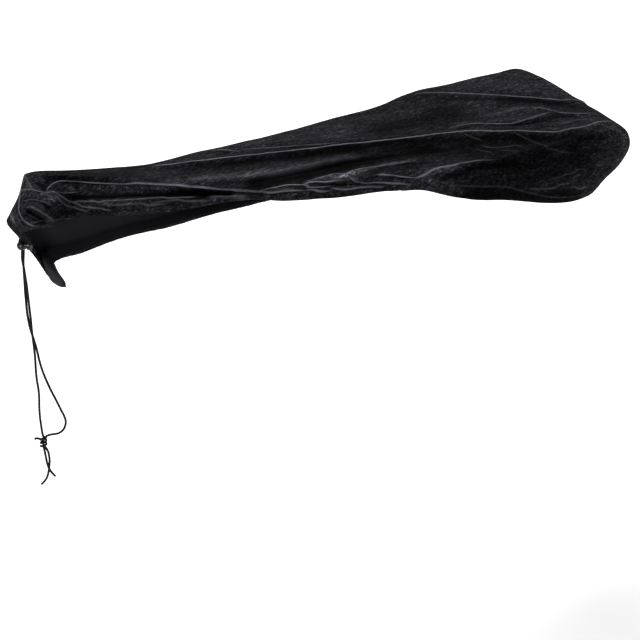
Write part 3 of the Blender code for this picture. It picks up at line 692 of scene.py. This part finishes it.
def crease_reading(points, normals, tree, route, crease):
    """Near a crease: the points' numbers, how far aside each is (left is above zero), how far
    away it is, and the crease's strength there."""
    line = smooth_line(route, LINE_STEP)
    nearest = [tree.find(place)[1] for place in line]
    line = eased(points[nearest], LINE_EASING)
    up = unit(eased(normals[nearest], LINE_EASING))
    reach = CREASE_REACH * max(crease.left, crease.right, crease.spread)
    close = np.all((points > line.min(0) - reach) & (points < line.max(0) + reach), axis=1)
    rows = np.nonzero(close)[0]
    apart = points[rows, None] - line[None]
    index = (apart**2).sum(2).argmin(1)
    offset = apart[np.arange(len(rows)), index]
    way = unit(np.gradient(line, axis=0))
    along = (offset * way[index]).sum(1)
    across = offset - along[:, None] * way[index]
    side = np.sign((across * np.cross(up, way)[index]).sum(1))
    aside = np.linalg.norm(across, axis=1) * side
    gone = travelled(line)
    first, *_, last = np.diff(travelled(route))
    fade = (np.clip(gone / first, 0, 1) * np.clip((gone[-1] - gone) / last, 0, 1))[index]
    fade = fade * fade * (3 - 2 * fade)
    times, plus = FACING
    facing = np.clip((normals[rows] * up[index]).sum(1) * times + plus, 0, 1)
    past = np.clip(2 - np.abs(along) / LINE_STEP, 0, 1)
    return rows, aside, np.linalg.norm(offset, axis=1), fade * facing * past


def add_glow(channels, count, rows, aside, glow):
    """Writes a painted highlight line's numbers into the first channel where its points are free.
    """
    for taken, asides, glows in channels:
        if not taken[rows].any():
            break
    else:
        taken, asides, glows = np.zeros(count, bool), np.zeros(count), np.zeros(count)
        channels.append((taken, asides, glows))
    taken[rows] = True
    asides[rows] = aside
    glows[rows] = glow


def apply_creases(points, faces):
    """The creased sheet, its points' painted light and shade, and for each of a few channels how
    far aside of its nearest crease each point is, in half widths of the painted highlight line, and
    how light it is."""
    normals = point_normals(points, faces)
    skin = BVHTree.FromPolygons(points.tolist(), faces.tolist())
    tree = KDTree(len(points))
    for i, point in enumerate(points):
        tree.insert(point, i)
    tree.balance()
    lift, tone = np.zeros(len(points)), np.zeros(len(points))
    channels = []
    for crease in [Crease(*values) for values in TOP_CREASES + FRONT_CREASES + END_CREASES]:
        route = crease_route(crease, points, normals, tree, skin)
        rows, aside, away, strength = crease_reading(points, normals, tree, route, crease)
        width = np.where(aside > 0, crease.left, crease.right)
        crest = np.exp(-(np.abs(aside) / width) ** CREST_POWER)
        lift[rows] += crease.height * strength * crest
        # a furrow paints shade into the colour, a crest a painted highlight line
        if crease.glow < 0:
            shade = strength * np.exp(-(aside / crease.spread) ** 2)
            tone[rows] += crease.glow * FURROW_PAINTED_SHADE * shade
            continue
        reach = max(GLOW_REACH * crease.spread, GLOW_LEAST)
        glow = crease.glow * strength * np.clip((reach - away) / GLOW_EDGE, 0, 1)
        mine = away < reach + GLOW_MARGIN
        add_glow(channels, len(points), rows[mine], aside[mine] / crease.spread, glow[mine])
    # patches of painted light and shade
    for light_patch in [PaintedLightPatch(*values) for values in PAINTED_LIGHT_PATCHES]:
        route = smooth_line(picture_to_cloth(light_patch.points, points, normals, skin), PATCH_STEP)
        away = np.linalg.norm(points[:, None] - route[None], axis=2).min(1)
        tone += light_patch.tone * np.exp(-(away / light_patch.radius) ** 2)
    return points + normals * lift[:, None], tone, [(c[1], c[2]) for c in channels]


def new_object(name, data):
    """A new object in the scene."""
    piece = bpy.data.objects.new(name, data)
    bpy.context.collection.objects.link(piece)
    return piece


def make_cloth():
    """The cloth: two layers of one creased sheet, closed at the hem, with the inner one plain."""
    points, faces, rings, number = sheet_middle()
    from_hem = hem_distance(points, rings)
    points = points + point_normals(points, faces) * uneven_height(points, from_hem)[:, None]
    points, tone, channels = apply_creases(points, faces)
    normals = point_normals(points, faces)
    # painted light on points that stand proud, painted shade in hollows
    tone += BULGE_PAINTED_SHADING * np.clip(bulge(points, normals, faces), *BULGE_RANGE)
    casing = np.clip((SEAM_DISTANCE - from_hem) / CASING_EDGE, 0, 1)
    thickness = CLOTH_THICKNESS + (CASING_THICKNESS - CLOTH_THICKNESS) * casing
    half = normals * thickness[:, None] / 2
    inner_faces, closing = inner_layer(rings, number)
    count = len(points)
    cloth_faces = faces.tolist()
    cloth_faces += [[i + count for i in face[::-1]] for face in inner_faces]
    cloth_faces += [[i + (count if inner else 0) for i, inner in face] for face in closing]
    used = np.unique(np.concatenate([np.ravel(face) for face in cloth_faces]))
    renumber = np.zeros(2 * count, int)
    renumber[used] = np.arange(len(used))
    both = np.concatenate([points + half, points - half])[used]
    mesh = bpy.data.meshes.new("cover_velvet")
    mesh.from_pydata(((both - DATUM) * MM).tolist(), [],
                     [renumber[face].tolist() for face in cloth_faces])
    mesh.update()
    mesh.shade_smooth()
    mesh.materials.append(velvet_material(len(channels)))
    mesh.materials.append(knit_material())
    mesh.polygons.foreach_set(
        "material_index", [0] * len(faces) + [1] * len(inner_faces) + [0] * len(closing))
    # the points' painted light and shade go to the velvet's colour
    numbers = {"tone": (tone, tone * 0), "from_hem": (from_hem, from_hem)}
    for i, (aside, glow) in enumerate(channels):
        numbers[f"aside_{i}"] = (aside, aside)
        numbers[f"glow_{i}"] = (glow, glow * 0)
    for name, layers in numbers.items():
        values = np.concatenate(layers)[used].astype(np.float32)
        mesh.attributes.new(name, "FLOAT", "POINT").data.foreach_set("value", values)
    return new_object("cover_velvet", mesh)


def shader_of(name, settings):
    """A new material, its nodes and its main shader, with numbers for the shader's sockets."""
    material = bpy.data.materials.new(name)
    material.use_nodes = True
    shader = material.node_tree.nodes["Principled BSDF"]
    for socket, value in settings.items():
        shader.inputs[socket].default_value = value
    return material, material.node_tree, shader


class Number:
    """A number in a material. Sums and products of numbers make more of them."""

    def __init__(self, tree, socket):
        self.tree, self.socket = tree, socket

    def math(self, operation, other=None):
        """What a math node makes of this number and another one, or of this one alone."""
        node = self.tree.nodes.new("ShaderNodeMath")
        node.operation = operation
        self.tree.links.new(self.socket, node.inputs[0])
        if isinstance(other, Number):
            self.tree.links.new(other.socket, node.inputs[1])
        elif other is not None:
            node.inputs[1].default_value = other
        return Number(self.tree, node.outputs[0])

    def __add__(self, other):
        return self.math("ADD", other)

    def __sub__(self, other):
        return self.math("SUBTRACT", other)

    def __mul__(self, other):
        return self.math("MULTIPLY", other)


def object_place(tree, stretch=1.0):
    """The object's coordinates, with what is read from them stretched along X."""
    place = tree.nodes.new("ShaderNodeTexCoord").outputs["Object"]
    if stretch == 1.0:
        return place
    node = tree.nodes.new("ShaderNodeMapping")
    node.inputs["Scale"].default_value = (1 / stretch, 1, 1)
    tree.links.new(place, node.inputs["Vector"])
    return node.outputs["Vector"]


def noise(tree, scale, detail, stretch=1.0):
    """Smooth random numbers from 0 to 1."""
    node = tree.nodes.new("ShaderNodeTexNoise")
    node.inputs["Scale"].default_value = scale
    node.inputs["Detail"].default_value = detail
    tree.links.new(object_place(tree, stretch), node.inputs["Vector"])
    return Number(tree, node.outputs["Fac"])


def attribute(tree, name):
    """The numbers that a mesh holds for its points."""
    node = tree.nodes.new("ShaderNodeAttribute")
    node.attribute_name = name
    return Number(tree, node.outputs["Fac"])


def two_tones(tree, shader, amount, dark, light):
    """Sets a shader's colour between two tones, by an amount from 0 to 1."""
    mix = tree.nodes.new("ShaderNodeMix")
    mix.data_type = "RGBA"
    mix.inputs["A"].default_value = (*dark, 1)
    mix.inputs["B"].default_value = (*light, 1)
    tree.links.new(amount.socket, mix.inputs["Factor"])
    tree.links.new(mix.outputs["Result"], shader.inputs["Base Color"])


def add_bump(tree, shader, height, strength, distance):
    """Raises a shader's surface by a height, with the distance in metres."""
    bump = tree.nodes.new("ShaderNodeBump")
    bump.inputs["Strength"].default_value = strength
    bump.inputs["Distance"].default_value = distance
    tree.links.new(height.socket, bump.inputs["Height"])
    tree.links.new(bump.outputs["Normal"], shader.inputs["Normal"])


def knit_material():
    """The cloth's back: a fine dull knit in rows."""
    material, tree, shader = shader_of("velvet_back", {
        "Roughness": 0.95, "Specular IOR Level": 0.1})
    wave = tree.nodes.new("ShaderNodeTexWave")
    wave.inputs["Scale"].default_value = 260.0
    wave.inputs["Distortion"].default_value = 1.5
    wave.inputs["Detail"].default_value = 1.0
    tree.links.new(object_place(tree), wave.inputs["Vector"])
    rows = Number(tree, wave.outputs["Fac"])
    light = (rows + noise(tree, scale=30.0, detail=4.0) * 1.2) * 0.5
    # The colour follows the rows: painted shade between them, with random tone.
    two_tones(tree, shader, light, (0.008, 0.008, 0.0095), (0.022, 0.022, 0.026))
    add_bump(tree, shader, rows, strength=0.4, distance=0.0004)
    return material


def velvet_material(channels):
    """Black velvet. Light and shade that the points hold are painted into its colour, and painted
    highlight lines with painted shade at their rims run along the creases, one set of them for each
    channel."""
    material, tree, shader = shader_of("velvet", {
        "Roughness": 0.9, "Specular IOR Level": 0.012, "Sheen Weight": 0.006,
        "Sheen Roughness": 0.3, "Sheen Tint": (0.85, 0.88, 1.0, 1)})
    lines, rims = [], []
    # painted highlight lines along the creases, with painted shade at their rims
    for i in range(channels):
        aside, glow = attribute(tree, f"aside_{i}"), attribute(tree, f"glow_{i}")
        square = aside * aside
        lines.append((square * -1.0).math("EXPONENT") * glow)
        rims.append((square * (-1 / RIM_WIDTH**2)).math("EXPONENT") * glow)
    times, plus = LINE_UNEVEN
    line = sum(lines[1:], lines[0]) * (noise(tree, scale=60.0, detail=3.0) * times + plus)
    seam = attribute(tree, "from_hem") - SEAM_DISTANCE
    line = line + (seam * seam * -SEAM_FALL).math("EXPONENT") * SEAM_LIGHT
    # painted shade at the rims and the points' painted light and shade, then random tone from the
    # noises
    power = sum(rims[1:], rims[0]) * -RIM_PAINTED_SHADE + attribute(tree, "tone")
    for scale, detail, amount, stretch in VELVET_NOISES:
        power = power + (noise(tree, scale, detail, stretch) - 0.5) * amount
    light = power.math("EXPONENT") * PILE_LIGHT + line * LINE_LIGHT
    two_tones(tree, shader, light, (0.0, 0.0, 0.0), (0.95, 0.95, 1.12))
    add_bump(tree, shader, noise(tree, scale=700.0, detail=2.0), strength=0.5, distance=0.001)
    return material


def cord_material():
    """A round black braid: two sets of diagonal ribs that cross each other, a little fuzzy."""
    material, tree, shader = shader_of("drawcord", {
        "Roughness": 0.85, "Specular IOR Level": 0.12})
    place = tree.nodes.new("ShaderNodeSeparateXYZ")
    tree.links.new(object_place(tree), place.inputs["Vector"])
    x, y, z = (Number(tree, output) for output in place.outputs)
    turn = 2 * math.pi / (BRAID_PITCH * MM)
    ribs = [(way * turn).math("SINE") for way in (z + (x + y), z - (x + y))]
    height = ribs[0].math("MAXIMUM", ribs[1]) * 0.5 + noise(tree, scale=1500.0, detail=2.0) * 0.8
    # The colour follows the ribs' height: painted shade in the grooves, lighter on the ribs, with
    # random fuzz.
    two_tones(tree, shader, height, (0.004, 0.004, 0.006), (0.012, 0.012, 0.017))
    add_bump(tree, shader, height, strength=0.6, distance=0.0003)
    return material


def plastic_material():
    """Black moulded plastic with a faint grain and worn patches that shine less."""
    material, tree, shader = shader_of("lock", {"Specular IOR Level": 0.25})
    worn = noise(tree, scale=90.0, detail=3.0)
    two_tones(tree, shader, worn, (0.002, 0.002, 0.0025), (0.006, 0.006, 0.007))
    tree.links.new((worn * 0.2 + 0.12).socket, shader.inputs["Roughness"])
    add_bump(tree, shader, noise(tree, scale=1200.0, detail=2.0), strength=0.12, distance=0.0002)
    return material


def floor_material():
    """Pale studio paper."""
    material, tree, shader = shader_of("floor_pale", {"Roughness": 0.9})
    grain = noise(tree, scale=0.7, detail=2.0)
    two_tones(tree, shader, grain, (0.89, 0.89, 0.89), (0.91, 0.91, 0.91))
    return material


def new_curve(name, lines, material):
    """A curve object of round tubes along one or more rows of points in metres."""
    curve = bpy.data.curves.new(name, "CURVE")
    curve.dimensions = "3D"
    curve.bevel_depth = CORD_DIAMETER / 2 * MM
    curve.bevel_resolution = 4
    curve.use_fill_caps = True
    curve.materials.append(material)
    for points in lines:
        spline = curve.splines.new("POLY")
        spline.points.add(len(points) - 1)
        for target, point in zip(spline.points, points):
            target.co = (*point, 1.0)
    return new_object(name, curve)


def cord_line(route, step):
    """Points in metres along a cord's route."""
    return (smooth_line(route, step) - DATUM) * MM


def knot_lines():
    """The middles of the knot's three tubes: the strand through it, the wraps and the stub."""
    top, foot = np.array(KNOT_TOP), np.array(KNOT_FOOT)
    aside = unit(np.cross([0.0, 1.0, 0.0], foot - top))
    aside = aside * np.sign(aside[0])
    start = CORD_ROUTES["drawcord_strand_left"][-1]
    core = [start, top, (top + foot) / 2, foot, CORD_ROUTES["drawcord_tail_right"][0]]
    wraps = [CORD_ROUTES["drawcord_strand_right"][-1]]
    count = round(KNOT_WRAPS * WRAP_STEPS)
    for i in range(count + 1):
        share = WRAP_MARGIN + (1 - 2 * WRAP_MARGIN) * i / count
        angle = 2 * math.pi * i / WRAP_STEPS
        around = aside * WRAP_WIDTH * math.cos(angle)
        around = around + np.array([0.0, -WRAP_DEPTH * math.sin(angle), 0.0])
        wraps.append(top + (foot - top) * share + around)
    wraps.append(CORD_ROUTES["drawcord_tail_left"][0])
    return [cord_line(route, KNOT_STEP) for route in (core, wraps, STUB)]


def make_cords():
    """The knot and every cord."""
    braid = cord_material()
    knot = new_curve("drawcord_knot_wraps", knot_lines(), braid)
    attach(knot, "root")
    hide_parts("drawcord_knot")
    for name, route in CORD_ROUTES.items():
        points = cord_line(route, CORD_STEP)
        cord = new_curve(name + "_cord", [points], braid)
        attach(cord, "root")
        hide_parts(name)
        if "lead" in name:
            continue


def make_camera():
    data = bpy.data.cameras.new("camera")
    data.lens = CAMERA_LENS
    data.sensor_width = SENSOR_WIDTH
    data.clip_start = 0.05
    data.clip_end = 60.0
    camera = new_object("camera", data)
    turn = np.eye(4)
    turn[:3, 0] = CAMERA_RIGHT
    turn[:3, 1] = CAMERA_UP
    turn[:3, 2] = CAMERA_BACK
    turn[:3, 3] = (np.array(CAMERA_PLACE) - DATUM) * MM
    camera.matrix_world = Matrix(turn.tolist())
    bpy.context.scene.camera = camera


def make_studio():
    """An even white surrounding, a pale floor and the suns."""
    world = bpy.data.worlds.new("studio")
    world.use_nodes = True
    background = world.node_tree.nodes["Background"]
    background.inputs["Color"].default_value = (1.0, 1.0, 1.0, 1)
    background.inputs["Strength"].default_value = WORLD_LIGHT
    bpy.context.scene.world = world
    bpy.context.scene.view_settings.view_transform = "Standard"
    bpy.ops.mesh.primitive_plane_add(size=60.0, location=(0, 0, (FLOOR_HEIGHT - DATUM[2]) * MM))
    floor = bpy.context.object
    floor.name = "floor"
    floor.data.materials.append(floor_material())
    for name, strength, width, direction in SUNS:
        data = bpy.data.lights.new(name, "SUN")
        data.energy = strength
        data.angle = math.radians(width)
        sun = new_object(name, data)
        sun.rotation_mode = "QUATERNION"
        sun.rotation_quaternion = Vector(direction).to_track_quat("-Z", "Y")


def main():
    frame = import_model()
    make_camera()
    plastic = plastic_material()
    for node in ("cord_lock_body", "cord_lock_button"):
        frame["nodes"][node].data.materials.clear()
        frame["nodes"][node].data.materials.append(plastic)
    make_cords()
    cloth = make_cloth()
    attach(cloth, "root")
    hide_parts("cover_cloth")
    make_studio()


main()
